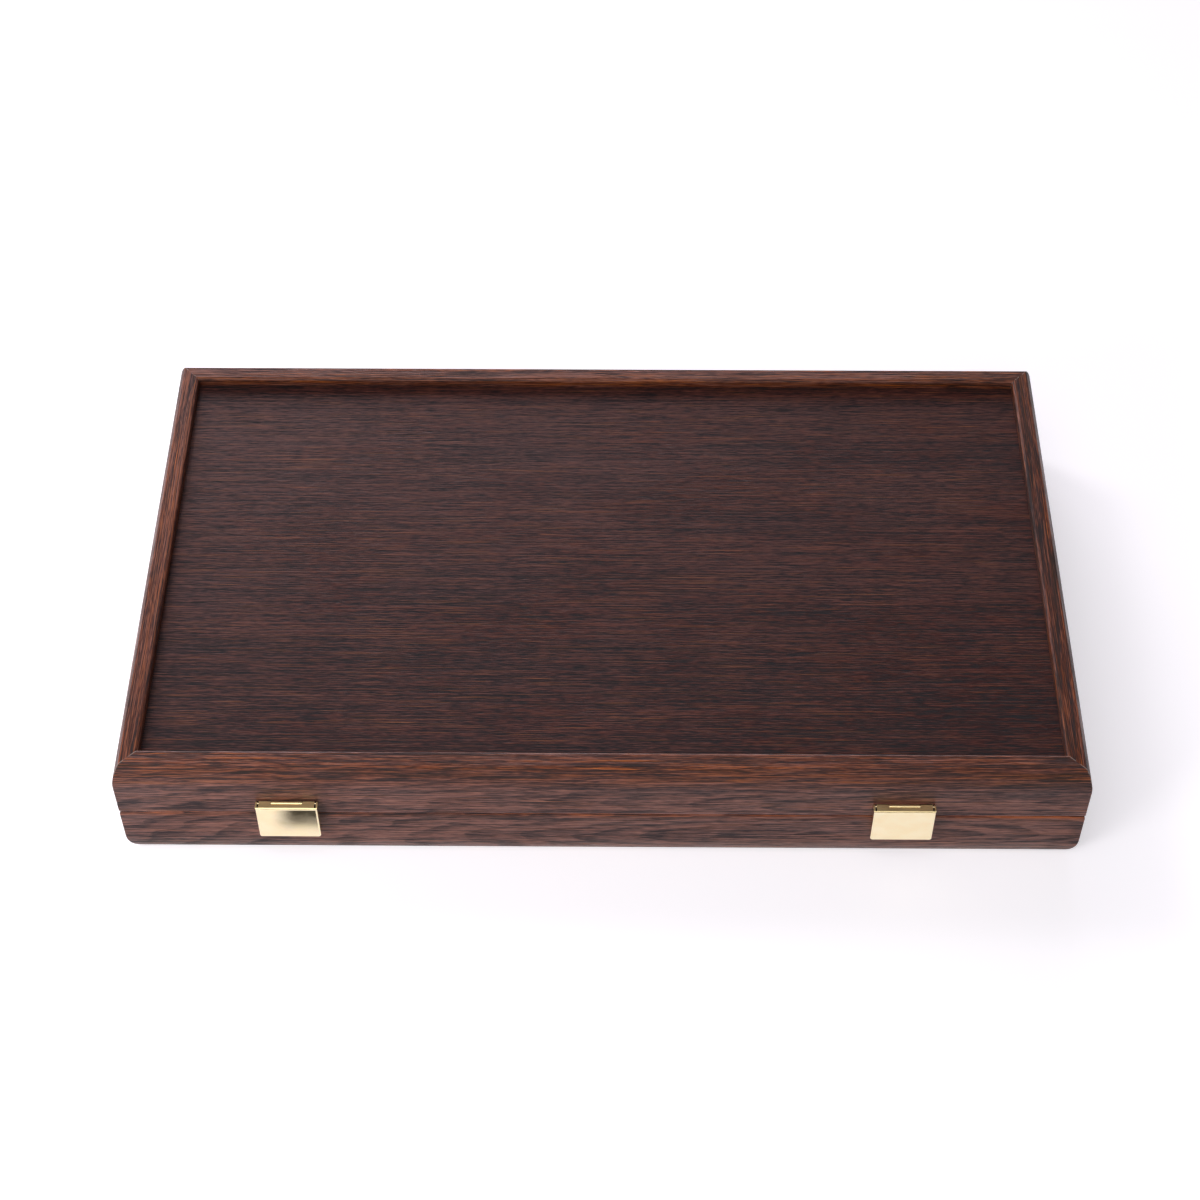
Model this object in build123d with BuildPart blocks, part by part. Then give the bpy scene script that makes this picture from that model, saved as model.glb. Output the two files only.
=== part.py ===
from build123d import *

import os
from math import radians, tan

# Backgammon board, closed: two equal wooden trays hinged along the back and latched in front.
# Millimetres. +Z is up, X runs along the hinge and the front is at -Y. The origin is on the table,
# under the middle of the case. The side of a tray is -1 for the base and +1 for the lid, and its
# heights are counted from the seam where the two trays meet.

os.makedirs("parts", exist_ok=True)

BASE, LID = -1, 1
TRAYS = {"base": BASE, "lid": LID}
ENDS = {"left": -1, "right": 1}

# Case
case_length = 480.0
case_depth = 282.0
half_height = 35.0
rail_thickness = 13.0
edge_inset = 4.2
edge_drop = 14.5
outer_edge_radius = 0.8
inner_edge_radius = 1.8
seam_edge_radius = 1.5

# Panel in each tray: a core with a veneer on both faces, held in a groove of the rails
recess_depth = 5.0
core_thickness = 3.0
veneer_thickness = 0.6
groove_depth = 5.0
groove_end_clearance = 0.5
groove_face_clearance = 0.05

# Checkers and dice
checker_diameter = 34.0
checker_thickness = 9.4
checker_edge_radius = 1.4
checker_dish_radius = 11.5
checker_dish_depth = 0.8
checkers_per_player = 15
checker_spacing = 0.4
checker_floor_gap = 0.2
die_size = 14.0
die_edge_radius = 1.6
pip_radius = 1.25
pip_depth = 0.5
pip_spacing = 3.7
enamel_recess = 0.1
enamel_clearance = 0.02
die_turn = 24.0
dice_gap = 8.0
dice_wall_gap = 14.0

# Rack along the front of each tray
rack_side_clearance = 1.25
rack_end_clearance = 3.0
rack_rail_thickness = 5.0
rack_rail_lowering = 0.5
rack_stop_thickness = 5.0
housing_depth = 2.0
housing_clearance = 0.05

# Points inlaid in the field veneer
points_per_end = 6
point_length = 185.0
point_gap = 1.2

# Screws
hinge_screw_radius = 1.0
hinge_screw_head_radius = 2.0
hinge_screw_length = 11.0
hinge_screw_sink = 0.1
hinge_screw_cross = 2.4
countersink_angle = 90.0
latch_screw_radius = 0.9
latch_screw_head_radius = 1.7
latch_screw_head_height = 0.9
latch_screw_length = 8.5
screw_tip_length = 2.0
screw_clearance = 0.05
driver_slot_width = 0.5
driver_slot_depth = 0.45

# Hinges on the back, each this far from its end of the case
hinge_end_offset = 90.0
hinge_length = 34.0
hinge_leaf_thickness = 1.2
hinge_leaf_reach = 9.5
hinge_axis_overhang = 0.4
hinge_knuckle_radius = 2.0
hinge_pin_radius = 0.8
hinge_knuckles = 5
hinge_knuckle_gap = 0.15
hinge_screw_spacing = 22.0
hinge_screw_setback = 5.6
running_clearance = 0.05
mortise_clearance = 0.1
barrel_clearance = 0.3

# Latches on the front, each this far from its end of the case, then both moved sideways
latch_end_offset = 87.6
latch_shift = -3.1
cover_width = 30.75
cover_height = 24.4
cover_depth = 5.4
cover_bottom = 21.6
sheet_thickness = 0.8
cover_bend_radius = 1.1
cover_corner_radius = 1.3
cover_back_gap = 0.3
top_flange_gap = 0.8
flange_relief_width = 0.8
flange_relief_depth = 1.2
latch_plate_width = 24.0
latch_plate_thickness = 0.7
latch_plate_bottom_gap = 1.6
latch_plate_drop = 1.5
latch_knuckle_width = 15.0
latch_knuckle_radius = 1.1
latch_pin_radius = 0.5
latch_pin_offset = 1.3
knuckle_notch_clearance = 0.3
latch_plate_screw_spacing = 17.0
strike_width = 20.0
strike_height = 10.0
strike_top_gap = 3.0
strike_screw_spacing = 15.0
strike_screw_rise = 2.6
lip_width = 12.0
lip_reach = 2.2
lip_thickness = 0.8
lip_rise = 5.2
lip_window_height = 1.5
tongue_width = 10.0
tongue_thickness = 0.4
tongue_weld_length = 6.0
tongue_weld_top_gap = 6.0
tongue_curl_radius = 0.6
tongue_curl_angle = 250.0
tongue_catch = 0.85
tongue_lip_gap = 0.3

# Places that several pieces share
seam = half_height
panel_thickness = core_thickness + 2 * veneer_thickness
tray_depth = half_height - recess_depth - panel_thickness
inner_length = case_length - 2 * rail_thickness
inner_depth = case_depth - 2 * rail_thickness
panel_length = inner_length + 2 * (groove_depth - groove_end_clearance)
panel_depth = inner_depth + 2 * (groove_depth - groove_end_clearance)
front_face = -case_depth / 2
back_face = case_depth / 2

rack_width = checker_diameter + 2 * rack_side_clearance
rack_front = front_face + rail_thickness
rack_back = rack_front + rack_width
rack_middle = (rack_front + rack_back) / 2
field_front = rack_back + rack_rail_thickness
field_back = back_face - rail_thickness
point_pitch = (field_back - field_front) / points_per_end
checker_row = checkers_per_player * (checker_thickness + checker_spacing)
checker_bay = checker_row + rack_end_clearance
rack_stop_offset = inner_length / 2 - checker_bay - rack_stop_thickness / 2

hinge_axis_y = back_face + hinge_axis_overhang
hinge_screw_y = back_face - hinge_screw_setback
hinge_screw_cone = (hinge_screw_head_radius - hinge_screw_radius) / tan(radians(countersink_angle / 2))
knuckle_pitch = hinge_length / hinge_knuckles

cover_top = cover_bottom + cover_height
latch_pin_height = cover_top - latch_knuckle_radius
strike_top = seam - strike_top_gap
strike_bottom = strike_top - strike_height
lip_bottom = strike_bottom + lip_rise
latch_plate_bottom = seam + latch_plate_bottom_gap
latch_plate_top = latch_pin_height - latch_plate_drop
latch_plate_screw_height = (latch_plate_bottom + latch_plate_top) / 2
strike_screw_height = strike_bottom + strike_screw_rise


def save(piece, name):
    """Label a finished piece and write it under the same name."""
    piece.part.label = name
    export_step(piece.part, f"parts/{name}.step")


def level(side, height):
    """Model height of what lies this far from the seam in the base or the lid."""
    return seam + side * height


def hinge_x(end):
    return end * (case_length / 2 - hinge_end_offset)


def latch_x(end):
    return latch_shift + end * (case_length / 2 - latch_end_offset)


def pair(centre, spacing):
    return [centre - spacing / 2, centre + spacing / 2]


# Screws, each drawn with the top of its head at the origin and its tip down

with BuildPart() as hinge_screw:
    with BuildSketch(Plane.XZ):
        with BuildLine():
            Polyline(
                (0, 0),
                (hinge_screw_head_radius, 0),
                (hinge_screw_radius, -hinge_screw_cone),
                (hinge_screw_radius, screw_tip_length - hinge_screw_length),
                (0, -hinge_screw_length),
                close=True,
            )
        make_face()
    revolve(axis=Axis.Z)
    Box(hinge_screw_cross, driver_slot_width, 2 * driver_slot_depth, mode=Mode.SUBTRACT)
    Box(driver_slot_width, hinge_screw_cross, 2 * driver_slot_depth, mode=Mode.SUBTRACT)

with BuildPart() as latch_screw:
    with BuildSketch(Plane.XZ):
        with BuildLine():
            rim = (latch_screw_head_radius, -latch_screw_head_height)
            crown = TangentArc((0, 0), rim, tangent=(1, 0))
            Polyline(
                crown @ 1,
                (latch_screw_radius, -latch_screw_head_height),
                (latch_screw_radius, screw_tip_length - latch_screw_length),
                (0, -latch_screw_length),
                (0, 0),
            )
        make_face()
    revolve(axis=Axis.Z)
    Box(2 * latch_screw_head_radius, driver_slot_width, 2 * driver_slot_depth, mode=Mode.SUBTRACT)


def hinge_screw_planes(side):
    """Where the hinge screws of one tray sit, each plane facing the driver."""
    places = [x for end in ENDS.values() for x in pair(hinge_x(end), hinge_screw_spacing)]
    height = level(side, hinge_screw_sink)
    return [Plane((x, hinge_screw_y, height), z_dir=(0, 0, -side)) for x in places]


def front_screw_planes(spacing, height, plate_thickness):
    """Where the screws of the two latches sit at this height, each plane facing the driver."""
    places = [x for end in ENDS.values() for x in pair(latch_x(end), spacing)]
    head_top = front_face - plate_thickness - latch_screw_head_height
    return [Plane((x, head_top, height), z_dir=(0, -1, 0)) for x in places]


latch_plate_screw_planes = front_screw_planes(
    latch_plate_screw_spacing, latch_plate_screw_height, latch_plate_thickness
)
strike_screw_planes = front_screw_planes(strike_screw_spacing, strike_screw_height, latch_plate_thickness)

# Rails


# Section with x inwards from the outer face and y from the seam to the rim
with BuildSketch() as rail_section:
    with BuildLine():
        curve = TangentArc((0, half_height - edge_drop), (edge_inset, half_height), tangent=(0, 1))
        Polyline(curve @ 1, (rail_thickness, half_height), (rail_thickness, 0), (0, 0), curve @ 0)
    make_face()
    rounded_corners = {
        (edge_inset, half_height): outer_edge_radius,
        (rail_thickness, half_height): inner_edge_radius,
        (0, 0): seam_edge_radius,
    }
    for corner, radius in rounded_corners.items():
        fillet(rail_section.vertices().sort_by_distance(corner)[0], radius=radius)
    with Locations((rail_thickness, half_height - recess_depth - panel_thickness / 2)):
        Rectangle(2 * groove_depth, panel_thickness + 2 * groove_face_clearance, mode=Mode.SUBTRACT)


def cut_hinge_seats(side):
    """Mortises for the leaves, the hollow for the barrel and the pilot holes of the screws."""
    leaf_front = back_face - hinge_leaf_reach - mortise_clearance
    seat_depth = hinge_axis_y - leaf_front
    for end in ENDS.values():
        with Locations((hinge_x(end), leaf_front + seat_depth / 2, seam)):
            Box(
                hinge_length + 2 * mortise_clearance,
                seat_depth,
                2 * hinge_leaf_thickness,
                mode=Mode.SUBTRACT,
            )
        with Locations((hinge_x(end), hinge_axis_y, seam)):
            Cylinder(
                hinge_knuckle_radius + barrel_clearance,
                hinge_length + 2 * barrel_clearance,
                rotation=(0, 90, 0),
                mode=Mode.SUBTRACT,
            )
    with Locations(*hinge_screw_planes(side)):
        Hole(hinge_screw_radius + screw_clearance, hinge_screw_length + screw_clearance)


def cut_front_pilots(planes):
    with Locations(*planes):
        Hole(latch_screw_radius + screw_clearance, latch_screw_length + screw_clearance)


def cut_rack_housing(side, end):
    """Slot in an end rail that takes the end of the rack rail."""
    width = rack_rail_thickness + 2 * housing_clearance
    middle = (rack_back + field_front) / 2
    inner_face = end * inner_length / 2
    with Locations((inner_face, middle, level(side, tray_depth / 2))):
        Box(2 * housing_depth, width, tray_depth, mode=Mode.SUBTRACT)


def make_rail(tray, place):
    """One of the four rails of a tray, mitred at both ends."""
    side = TRAYS[tray]
    outward = {
        "front": Vector(0, -1, 0),
        "back": Vector(0, 1, 0),
        "left": Vector(-1, 0, 0),
        "right": Vector(1, 0, 0),
    }[place]
    long_rail = place in ("front", "back")
    reach = (case_depth if long_rail else case_length) / 2
    half_length = (case_length if long_rail else case_depth) / 2
    along = outward.cross(Vector(0, 0, 1))
    middle = outward * reach + Vector(0, 0, seam)
    section_plane = Plane(middle, x_dir=-outward, z_dir=(-outward).cross(Vector(0, 0, side)))
    with BuildPart() as rail:
        with BuildSketch(section_plane):
            add(rail_section.sketch)
        extrude(amount=half_length, both=True)
        for way in (-1, 1):
            mitre = Plane(middle + along * (way * half_length), z_dir=along * way - outward)
            split(bisect_by=mitre, keep=Keep.BOTTOM)
        if place == "back":
            cut_hinge_seats(side)
        elif place == "front":
            cut_front_pilots(latch_plate_screw_planes if side == LID else strike_screw_planes)
        else:
            cut_rack_housing(side, ENDS[place])
    save(rail, f"{tray}_{place}_rail")


for tray in TRAYS:
    for place in ("front", "back", "left", "right"):
        make_rail(tray, place)

# Panels, veneers and inlaid points


def make_sheet(name, side, near, thickness):
    """A plain sheet of the panel's outline, starting this far from the seam."""
    with BuildPart() as sheet:
        with BuildSketch(Plane.XY.offset(level(side, near))):
            Rectangle(panel_length, panel_depth)
        extrude(amount=side * thickness)
    save(sheet, name)


def point_corners(end, row):
    """A long triangle with its foot on an end rail, in the given row counted from the rack."""
    foot = end * inner_length / 2
    tip = foot - end * point_length
    middle = field_front + (row + 0.5) * point_pitch
    half_foot = (point_pitch - point_gap) / 2
    return [(foot, middle - half_foot), (tip, middle), (foot, middle + half_foot)]


def point_places(side, shade):
    """End and row of the points of one shade: neighbours and facing points alternate."""
    places = [(end, row) for end in ENDS.values() for row in range(points_per_end)]
    return [(end, row) for end, row in places if (row + (end + side) // 2) % 2 == shade]


def make_points(name, side, shade):
    with BuildPart() as points:
        with BuildSketch(Plane.XY.offset(level(side, tray_depth))):
            for end, row in point_places(side, shade):
                with BuildLine():
                    Polyline(*point_corners(end, row), close=True)
                make_face()
        extrude(amount=side * veneer_thickness)
    save(points, name)


def make_field_veneer(name, side):
    """The playing surface, with an opening for every inlaid point."""
    with BuildPart() as veneer:
        with BuildSketch(Plane.XY.offset(level(side, tray_depth))):
            Rectangle(panel_length, panel_depth)
        extrude(amount=side * veneer_thickness)
        with BuildSketch(Plane.XY.offset(level(side, tray_depth))):
            for end, row in point_places(side, 0) + point_places(side, 1):
                with BuildLine():
                    Polyline(*point_corners(end, row), close=True)
                make_face()
        extrude(amount=side * veneer_thickness, mode=Mode.SUBTRACT)
    save(veneer, name)


for tray, side in TRAYS.items():
    make_sheet(f"{tray}_panel", side, tray_depth + veneer_thickness, core_thickness)
    outer_face_depth = tray_depth + veneer_thickness + core_thickness
    make_sheet(f"{tray}_outer_veneer", side, outer_face_depth, veneer_thickness)
    make_field_veneer(f"{tray}_field_veneer", side)
    make_points(f"{tray}_light_points", side, 0)
    make_points(f"{tray}_dark_points", side, 1)

# Racks for the checkers


def make_upright(name, side, x, y, length, width):
    """A strip that stands on the field veneer and stops just short of the seam."""
    with BuildPart() as strip:
        with BuildSketch(Plane.XY.offset(level(side, rack_rail_lowering))):
            with Locations((x, y)):
                Rectangle(length, width)
        extrude(amount=side * (tray_depth - rack_rail_lowering))
    save(strip, name)


for tray, side in TRAYS.items():
    rack_rail_length = inner_length + 2 * (housing_depth - housing_clearance)
    rack_rail_middle = (rack_back + field_front) / 2
    make_upright(f"{tray}_rack_rail", side, 0, rack_rail_middle, rack_rail_length, rack_rail_thickness)
    for place, end in ENDS.items():
        name = f"{tray}_rack_stop_{place}"
        make_upright(name, side, end * rack_stop_offset, rack_middle, rack_stop_thickness, rack_width)

# Hinges


def knuckle_centres(x, parity):
    """Places of every second knuckle along the barrel."""
    first = x - hinge_length / 2 + knuckle_pitch / 2
    return [first + i * knuckle_pitch for i in range(hinge_knuckles) if i % 2 == parity]


def make_hinge_leaf(name, side, x, parity):
    leaf_front = back_face - hinge_leaf_reach
    leaf_width = hinge_axis_y - leaf_front
    with BuildPart() as leaf:
        with BuildSketch(Plane.XY.offset(seam)):
            with Locations((x, leaf_front + leaf_width / 2)):
                Rectangle(hinge_length, leaf_width)
        extrude(amount=side * hinge_leaf_thickness)
        for centre in knuckle_centres(x, 1 - parity):
            with Locations((centre, hinge_axis_y, seam)):
                Cylinder(
                    hinge_knuckle_radius + barrel_clearance,
                    knuckle_pitch,
                    rotation=(0, 90, 0),
                    mode=Mode.SUBTRACT,
                )
        for centre in knuckle_centres(x, parity):
            with Locations((centre, hinge_axis_y, seam)):
                Cylinder(hinge_knuckle_radius, knuckle_pitch - hinge_knuckle_gap, rotation=(0, 90, 0))
        with Locations((x, hinge_axis_y, seam)):
            Cylinder(
                hinge_pin_radius + running_clearance,
                2 * hinge_length,
                rotation=(0, 90, 0),
                mode=Mode.SUBTRACT,
            )
        seats = [
            Plane((place, hinge_screw_y, seam), z_dir=(0, 0, -side))
            for place in pair(x, hinge_screw_spacing)
        ]
        with Locations(*seats):
            CounterSinkHole(
                hinge_screw_radius + screw_clearance,
                hinge_screw_head_radius + hinge_screw_sink + screw_clearance,
                depth=2 * hinge_leaf_thickness,
                counter_sink_angle=countersink_angle,
            )
    save(leaf, name)


for place, end in ENDS.items():
    make_hinge_leaf(f"{place}_hinge_base_leaf", BASE, hinge_x(end), 0)
    make_hinge_leaf(f"{place}_hinge_lid_leaf", LID, hinge_x(end), 1)
    with BuildPart() as hinge_pin:
        with Locations((hinge_x(end), hinge_axis_y, seam)):
            Cylinder(hinge_pin_radius, hinge_length, rotation=(0, 90, 0))
    save(hinge_pin, f"{place}_hinge_pin")

for tray, side in TRAYS.items():
    with BuildPart() as hinge_screws:
        with Locations(*hinge_screw_planes(side)):
            add(hinge_screw.part)
    save(hinge_screws, f"{tray}_hinge_screws")

# Latches: a cover that swings up from a plate on the lid, and a strike on the base


def latch_section(x):
    """Plane across a latch, with x outwards from the front face and y up."""
    return Plane((x, front_face, 0), x_dir=(0, -1, 0), z_dir=(-1, 0, 0))


def cut_plate_holes(places, height):
    """Screw holes through a plate that lies on the front face."""
    face = front_face - latch_plate_thickness
    with Locations(*[Plane((place, face, height), z_dir=(0, -1, 0)) for place in places]):
        Hole(latch_screw_radius + screw_clearance, 2 * latch_plate_thickness)


def make_latch_plate(name, x):
    """Hinge plate on the lid, its middle rolled into a knuckle for the pin."""
    plane = latch_section(x)
    with BuildPart() as plate:
        with BuildSketch(plane):
            with Locations((0, latch_plate_bottom)):
                Rectangle(
                    latch_plate_thickness,
                    latch_plate_top - latch_plate_bottom,
                    align=(Align.MIN, Align.MIN),
                )
        extrude(amount=latch_plate_width / 2, both=True)
        with BuildSketch(plane):
            with Locations((0, latch_plate_bottom)):
                Rectangle(
                    latch_plate_thickness,
                    latch_pin_height - latch_plate_bottom,
                    align=(Align.MIN, Align.MIN),
                )
            with Locations((latch_pin_offset, latch_pin_height)):
                Circle(latch_knuckle_radius)
        extrude(amount=latch_knuckle_width / 2, both=True)
        with BuildSketch(plane):
            with Locations((latch_pin_offset, latch_pin_height)):
                Circle(latch_pin_radius + running_clearance)
        extrude(amount=latch_knuckle_width, both=True, mode=Mode.SUBTRACT)
        cut_plate_holes(pair(x, latch_plate_screw_spacing), latch_plate_screw_height)
    save(plate, name)


def make_latch_cover(name, x):
    """Pressed cover: a front plate with flanges bent back at its top and its two sides."""
    front = front_face - cover_depth
    back = front_face - cover_back_gap
    hollow_depth = cover_depth - sheet_thickness
    flange_half = cover_width / 2 - sheet_thickness
    ear_radius = latch_pin_offset - cover_back_gap
    ear_width = sheet_thickness + flange_relief_width
    with BuildPart() as cover:
        with BuildSketch(Plane((x, front, 0), x_dir=(1, 0, 0), z_dir=(0, -1, 0))) as outline:
            with Locations((0, cover_bottom)):
                Rectangle(cover_width, cover_height, align=(Align.CENTER, Align.MIN))
            fillet(outline.vertices().group_by(Axis.Y)[0], radius=cover_corner_radius)
        extrude(amount=front - back)
        front_edges = cover.faces().sort_by(Axis.Y)[0].edges()
        fillet(front_edges.sort_by(Axis.Z)[1:], radius=cover_bend_radius)
        with Locations((x, front_face, cover_bottom - sheet_thickness)):
            Box(
                2 * flange_half,
                2 * hollow_depth,
                cover_height,
                align=(Align.CENTER, Align.CENTER, Align.MIN),
                mode=Mode.SUBTRACT,
            )
        with Locations((x, front_face, cover_top)):
            Box(
                2 * flange_half,
                2 * top_flange_gap,
                2 * flange_relief_depth,
                mode=Mode.SUBTRACT,
            )
            Box(
                latch_knuckle_width + 2 * knuckle_notch_clearance,
                2 * (latch_pin_offset + latch_knuckle_radius + knuckle_notch_clearance),
                2 * flange_relief_depth,
                mode=Mode.SUBTRACT,
            )
        for end in ENDS.values():
            with Locations((x + end * (flange_half - flange_relief_width / 2), front_face, cover_top)):
                Box(
                    flange_relief_width,
                    2 * hollow_depth,
                    2 * flange_relief_depth,
                    mode=Mode.SUBTRACT,
                )
            with BuildSketch(latch_section(x + end * (cover_width - ear_width) / 2)):
                with Locations((0, latch_pin_height)):
                    Rectangle(latch_pin_offset, cover_height, align=(Align.MIN, Align.MIN))
                with Locations((latch_pin_offset, latch_pin_height)):
                    Circle(ear_radius, mode=Mode.SUBTRACT)
            extrude(amount=ear_width / 2, both=True, mode=Mode.SUBTRACT)
        with Locations((x, front_face - latch_pin_offset, latch_pin_height)):
            Cylinder(
                latch_pin_radius + running_clearance,
                2 * cover_width,
                rotation=(0, 90, 0),
                mode=Mode.SUBTRACT,
            )
    save(cover, name)


def make_latch_tongue(name, x):
    """Spring strip welded inside the cover, its curled end caught under the lip of the strike."""
    weld = cover_depth - sheet_thickness - tongue_thickness / 2
    weld_top = cover_top - tongue_weld_top_gap
    curl_outer = tongue_curl_radius + tongue_thickness / 2
    curl_x = lip_reach - tongue_catch + curl_outer
    curl_y = lip_bottom - tongue_lip_gap - curl_outer
    with BuildPart() as tongue:
        with BuildSketch(latch_section(x)):
            with BuildLine():
                Polyline(
                    (weld, weld_top),
                    (weld, weld_top - tongue_weld_length),
                    (curl_x + tongue_curl_radius, curl_y + 2 * curl_outer),
                    (curl_x + tongue_curl_radius, curl_y),
                )
                CenterArc((curl_x, curl_y), tongue_curl_radius, 0, -tongue_curl_angle)
                offset(amount=tongue_thickness / 2)
            make_face()
        extrude(amount=tongue_width / 2, both=True)
    save(tongue, name)


def make_strike(name, x):
    """Strike on the base, with a lip turned out of a window in its plate."""
    plane = latch_section(x)
    with BuildPart() as strike:
        with BuildSketch(plane):
            with Locations((0, strike_bottom)):
                Rectangle(latch_plate_thickness, strike_height, align=(Align.MIN, Align.MIN))
        extrude(amount=strike_width / 2, both=True)
        with BuildSketch(plane):
            with Locations((0, lip_bottom + lip_thickness)):
                Rectangle(
                    2 * latch_plate_thickness,
                    lip_window_height,
                    align=(Align.CENTER, Align.MIN),
                )
        extrude(amount=lip_width / 2, both=True, mode=Mode.SUBTRACT)
        with BuildSketch(plane):
            with Locations((0, lip_bottom)):
                Rectangle(lip_reach, lip_thickness, align=(Align.MIN, Align.MIN))
        extrude(amount=lip_width / 2, both=True)
        cut_plate_holes(pair(x, strike_screw_spacing), strike_screw_height)
    save(strike, name)


for place, end in ENDS.items():
    make_latch_plate(f"{place}_latch_plate", latch_x(end))
    make_latch_cover(f"{place}_latch_cover", latch_x(end))
    make_latch_tongue(f"{place}_latch_tongue", latch_x(end))
    make_strike(f"{place}_latch_strike", latch_x(end))
    with BuildPart() as latch_pin:
        with Locations((latch_x(end), front_face - latch_pin_offset, latch_pin_height)):
            Cylinder(latch_pin_radius, cover_width, rotation=(0, 90, 0))
    save(latch_pin, f"{place}_latch_pin")

for name, planes in {
    "latch_plate_screws": latch_plate_screw_planes,
    "strike_screws": strike_screw_planes,
}.items():
    with BuildPart() as latch_screws:
        with Locations(*planes):
            add(latch_screw.part)
    save(latch_screws, name)

# Checkers, on edge in the two bays of the base's rack

with BuildPart() as checker:
    with BuildSketch(Plane.XZ) as section:
        Rectangle(checker_diameter / 2, checker_thickness, align=(Align.MIN, Align.CENTER))
        fillet(section.vertices().group_by(Axis.X)[-1], radius=checker_edge_radius)
        for face in (-1, 1):
            with Locations((0, face * checker_thickness / 2)):
                Rectangle(
                    2 * checker_dish_radius,
                    2 * checker_dish_depth,
                    mode=Mode.SUBTRACT,
                )
    revolve(axis=Axis.Z)

checker_height = level(BASE, tray_depth) + checker_diameter / 2 + checker_floor_gap
for shade, end in {"light": -1, "dark": 1}.items():
    step = checker_thickness + checker_spacing
    row_start = inner_length / 2 - rack_end_clearance / 2 - step / 2
    places = [end * (row_start - i * step) for i in range(checkers_per_player)]
    with BuildPart() as checkers:
        with Locations(*[Plane((x, rack_middle, checker_height), z_dir=(1, 0, 0)) for x in places]):
            add(checker.part)
    save(checkers, f"{shade}_checkers")

# Dice, in the middle bay of the base's rack


die_faces = {
    1: Vector(0, 0, 1),
    6: Vector(0, 0, -1),
    2: Vector(0, 1, 0),
    5: Vector(0, -1, 0),
    3: Vector(1, 0, 0),
    4: Vector(-1, 0, 0),
}


def pip_places(count):
    """Pips of one face, in steps of the spacing from its middle."""
    corners = [(-1, -1), (1, 1), (-1, 1), (1, -1), (-1, 0), (1, 0)]
    ring = corners[: count - count % 2]
    return ring + [(0, 0)] * (count % 2)


def pip_balls(radius, mode):
    """A ball of this radius at every pip of a die."""
    for count, normal in die_faces.items():
        with Locations(Plane(normal * (die_size / 2 + pip_radius - pip_depth), z_dir=normal)):
            with Locations(*[(u * pip_spacing, v * pip_spacing) for u, v in pip_places(count)]):
                Sphere(radius, mode=mode)


with BuildPart() as die:
    Box(die_size, die_size, die_size)
    fillet(die.edges(), radius=die_edge_radius)
    pip_balls(pip_radius, Mode.SUBTRACT)

# Enamel that fills each pip to just below the face
enamel_span = die_size - 2 * enamel_recess
with BuildPart() as die_enamel:
    pip_balls(pip_radius - enamel_clearance, Mode.ADD)
    Box(enamel_span, enamel_span, enamel_span, mode=Mode.INTERSECT)

die_height = level(BASE, tray_depth) + die_size / 2
first_die_x = rack_stop_offset - rack_stop_thickness / 2 - dice_wall_gap - die_size / 2
second_die_x = first_die_x - die_size - dice_gap
die_places = [
    Location((first_die_x, rack_middle, die_height), (0, 0, die_turn)),
    Location((second_die_x, rack_middle, die_height), (0, 0, -die_turn)) * Location((0, 0, 0), (90, 0, 0)),
]
for name, piece in {"dice": die, "dice_pips": die_enamel}.items():
    with BuildPart() as dice:
        with Locations(*die_places):
            add(piece.part)
    save(dice, name)
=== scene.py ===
"""Looks of the backgammon board: dark grained wood, pale gold latches, inlaid points, a white studio.

Metres, in the frame of the CAD model. Patterns are laid out in millimetres on each node's own
coordinates, so they stay with their piece when the lid or a latch cover turns.
"""

import math
from typing import NamedTuple

import bpy
from mathutils import Matrix, Vector


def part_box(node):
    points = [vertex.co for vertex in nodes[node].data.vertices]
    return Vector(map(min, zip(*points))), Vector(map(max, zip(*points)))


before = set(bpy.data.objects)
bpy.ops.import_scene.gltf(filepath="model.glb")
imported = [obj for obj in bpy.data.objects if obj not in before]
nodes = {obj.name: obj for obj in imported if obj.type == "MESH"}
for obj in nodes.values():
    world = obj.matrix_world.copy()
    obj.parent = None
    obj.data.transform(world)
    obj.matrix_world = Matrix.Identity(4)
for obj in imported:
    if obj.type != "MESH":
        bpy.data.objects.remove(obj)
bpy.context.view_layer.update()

TO_MM = 1000.0


def middle_of(node):
    """Middle of a CAD node's box, in millimetres."""
    low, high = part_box(node)
    return (low + high) * (TO_MM / 2)


# Places that the patterns follow, in millimetres
case_low, case_high = (corner * TO_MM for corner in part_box("base_front_rail"))
case_half_length = case_high.x
case_half_depth = -case_low.y
mitre_offset = case_half_length - case_half_depth
seam_height = case_high.z
# How far in from the case's sides the sharp top edge of the rim runs
EDGE_INSET = 4.2


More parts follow.
